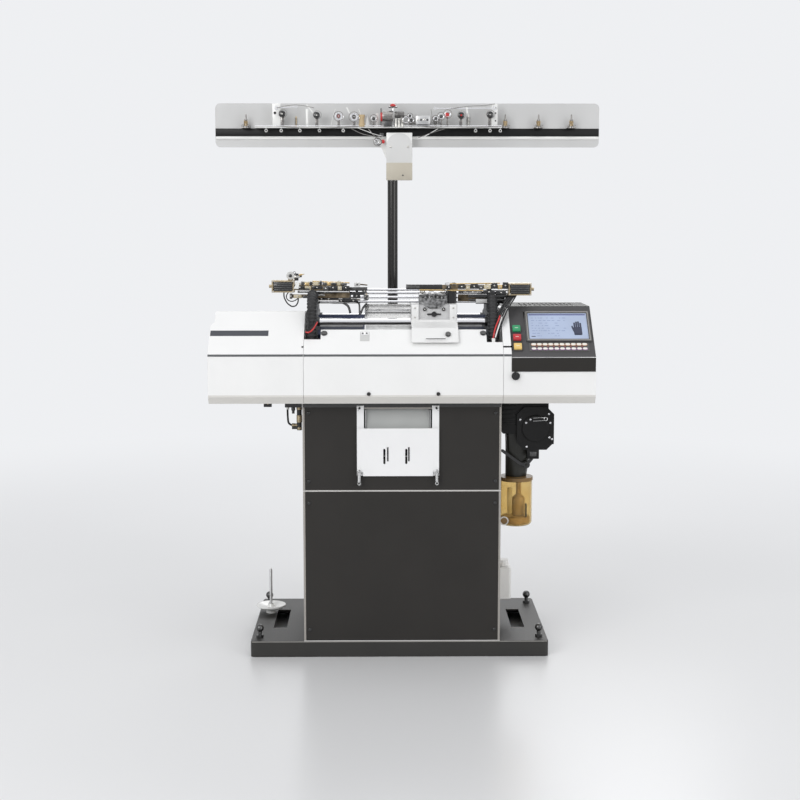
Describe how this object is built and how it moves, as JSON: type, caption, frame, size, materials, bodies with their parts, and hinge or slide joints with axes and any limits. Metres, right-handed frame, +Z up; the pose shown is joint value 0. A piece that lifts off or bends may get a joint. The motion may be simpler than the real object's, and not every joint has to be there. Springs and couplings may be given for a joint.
{
  "type": "glove knitting machine",
  "caption": "Automatic glove knitting machine on a floor base, with a sliding carriage over V-shaped needle beds, a slanted console, a yarn tension panel on a mast and a glove chute.",
  "frame": {"origin": "centre of the floor base, on the floor", "axes": "+X to the right as the operator sees it, +Y away from the operator, +Z up"},
  "size_m": [1.206, 0.5789, 1.672],
  "materials": {
    "amber": "clear, amber",
    "base_grey": "fine powder coat, satin",
    "black_metal": "black, satin",
    "black_plastic": "matt",
    "blue_bar": "dark blue, satin",
    "brass": "satin",
    "casting": "painted casting",
    "chrome": "polished",
    "console_grey": "powder coat, satin",
    "cream": "satin",
    "dark_panel": "fine powder coat, satin",
    "frame_grey": "powder coat, satin",
    "green": "gloss",
    "head_cream": "cast, bead blasted",
    "keypad_grey": "matt",
    "oil_bottle": "natural plastic",
    "red": "gloss",
    "rubber": "matt",
    "screen": "gloss",
    "steel": "machined",
    "white_plastic": "gloss",
    "white_sheet": "powder coat, satin",
    "yellow": "gloss",
    "zinc": "zinc plated"
  },
  "bodies": {
    "machine": {"base_frame": "base_grey", "leveling_bolts": "zinc", "cone_seat": "white_sheet", "cabinet_frame": "frame_grey", "lower_front_panel": "dark_panel", "upper_front_panel": "dark_panel", "rear_panel": "dark_panel", "glove_chute": "frame_grey", "chute_springs": "zinc", "electronics_box": "frame_grey", "oil_tank": "oil_bottle", "left_cover": "white_sheet", "right_cover": "white_sheet", "front_cover": "white_sheet", "rear_cover": "white_sheet", "body_tray": "frame_grey", "sheet_screws": "zinc", "bed_bars": "blue_bar", "needle_beds": "steel", "needles": "chrome", "end_brackets": "casting", "guide_rods": "chrome", "carriage_drive": "black_metal", "drive_belt": "rubber", "glove_funnel": "frame_grey", "side_arms": "cream", "solenoids": "brass", "hoses": "rubber", "control_cable": "black_plastic", "console_housing": "console_grey", "display": "screen", "keypad": "keypad_grey", "tension_panel": "white_sheet", "mast": "frame_grey", "tension_shelf": "zinc", "tensioners": "steel", "waste_blower": "black_metal", "blower_duct": "black_plastic", "waste_jar": "amber", "air_valve": "black_metal"},
    "carriage": {"carriage_saddles": "casting", "carriage_head": "head_cream", "carriage_bow": "black_metal", "carriage_apron": "white_sheet"},
    "cam_lever": {"cam_lever": "black_metal"},
    "apron_thumb_screw": {"apron_thumb_screw": "zinc"},
    "feeder_left": {"feeder_left": "steel"},
    "feeder_middle": {"feeder_middle": "steel"},
    "feeder_right": {"feeder_right": "steel"},
    "drive_pulley": {"drive_pulley": "steel"},
    "idler_pulley": {"idler_pulley": "steel"},
    "guide_wheel": {"guide_wheel": "white_plastic"},
    "start_button": {"start_button": "green"},
    "stop_button": {"stop_button": "red"},
    "reset_button": {"reset_button": "yellow"},
    "switch_knob": {"switch_knob": "black_plastic"},
    "take_up_arm_left": {"take_up_arm_left": "chrome"},
    "take_up_arm_right": {"take_up_arm_right": "chrome"},
    "impeller": {"impeller": "steel"},
    "clamp_lever": {"clamp_lever": "zinc"}
  },
  "joints": [
    {"name": "carriage_slide", "type": "slide", "parent": "machine", "child": "carriage", "axis": [1, 0, 0], "range_m": [-0.255, 0.06]},
    {"name": "cam_lever_turn", "type": "hinge", "parent": "carriage", "child": "cam_lever", "pos_m": [0.1035, -0.184, 1.031], "axis": [0, 1, 0], "range_deg": [-20, 20]},
    {"name": "thumb_screw_turn", "type": "hinge", "parent": "carriage", "child": "apron_thumb_screw", "pos_m": [0.1415, -0.26863, 0.97573], "axis": [0, -0.6626, 0.749], "continuous": true},
    {"name": "feeder_left_slide", "type": "slide", "parent": "machine", "child": "feeder_left", "axis": [1, 0, 0], "range_m": [0, 0.35]},
    {"name": "feeder_middle_slide", "type": "slide", "parent": "machine", "child": "feeder_middle", "axis": [1, 0, 0], "range_m": [-0.18, 0.18]},
    {"name": "feeder_right_slide", "type": "slide", "parent": "machine", "child": "feeder_right", "axis": [1, 0, 0], "range_m": [-0.33, 0.15]},
    {"name": "drive_pulley_turn", "type": "hinge", "parent": "machine", "child": "drive_pulley", "pos_m": [0.372, -0.2, 0.9], "axis": [0, 1, 0], "range_deg": [-670, 160]},
    {"name": "idler_pulley_turn", "type": "hinge", "parent": "machine", "child": "idler_pulley", "pos_m": [-0.33, -0.2, 0.9], "axis": [0, 1, 0], "range_deg": [-670, 160]},
    {"name": "guide_wheel_turn", "type": "hinge", "parent": "machine", "child": "guide_wheel", "pos_m": [-0.328, -0.112, 1.143], "axis": [0, 1, 0], "continuous": true},
    {"name": "switch_knob_turn", "type": "hinge", "parent": "machine", "child": "switch_knob", "pos_m": [0.337, -0.312, 0.8595], "axis": [0, 1, 0], "range_deg": [0, 90]},
    {"name": "take_up_left_swing", "type": "hinge", "parent": "machine", "child": "take_up_arm_left", "pos_m": [-0.379, 0.09, 1.655], "axis": [0, 1, 0], "range_deg": [-35, 0], "stiffness_Nm_per_rad": 0.05},
    {"name": "take_up_right_swing", "type": "hinge", "parent": "machine", "child": "take_up_arm_right", "pos_m": [0.3, 0.09, 1.655], "axis": [0, 1, 0], "range_deg": [0, 30], "stiffness_Nm_per_rad": 0.2},
    {"name": "impeller_turn", "type": "hinge", "parent": "machine", "child": "impeller", "pos_m": [0.378, -0.17, 0.7245], "axis": [0, 1, 0], "continuous": true},
    {"name": "clamp_lever_swing", "type": "hinge", "parent": "machine", "child": "clamp_lever", "pos_m": [0.385, -0.175, 0.573], "axis": [0, 1, 0], "range_deg": [0, 30]},
    {"name": "start_button_press", "type": "slide", "parent": "machine", "child": "start_button", "axis": [0, 0.6626, -0.749], "range_m": [0, 0.0025], "stiffness_N_per_m": 600},
    {"name": "stop_button_press", "type": "slide", "parent": "machine", "child": "stop_button", "axis": [0, 0.6626, -0.749], "range_m": [0, 0.0025], "stiffness_N_per_m": 600},
    {"name": "reset_button_press", "type": "slide", "parent": "machine", "child": "reset_button", "axis": [0, 0.6626, -0.749], "range_m": [0, 0.0025], "stiffness_N_per_m": 600}
  ],
  "couplings": [
    {"joint": "drive_pulley_turn", "follows": "carriage_slide", "rad_per_m": 45.455},
    {"joint": "idler_pulley_turn", "follows": "carriage_slide", "rad_per_m": 45.455}
  ]
}
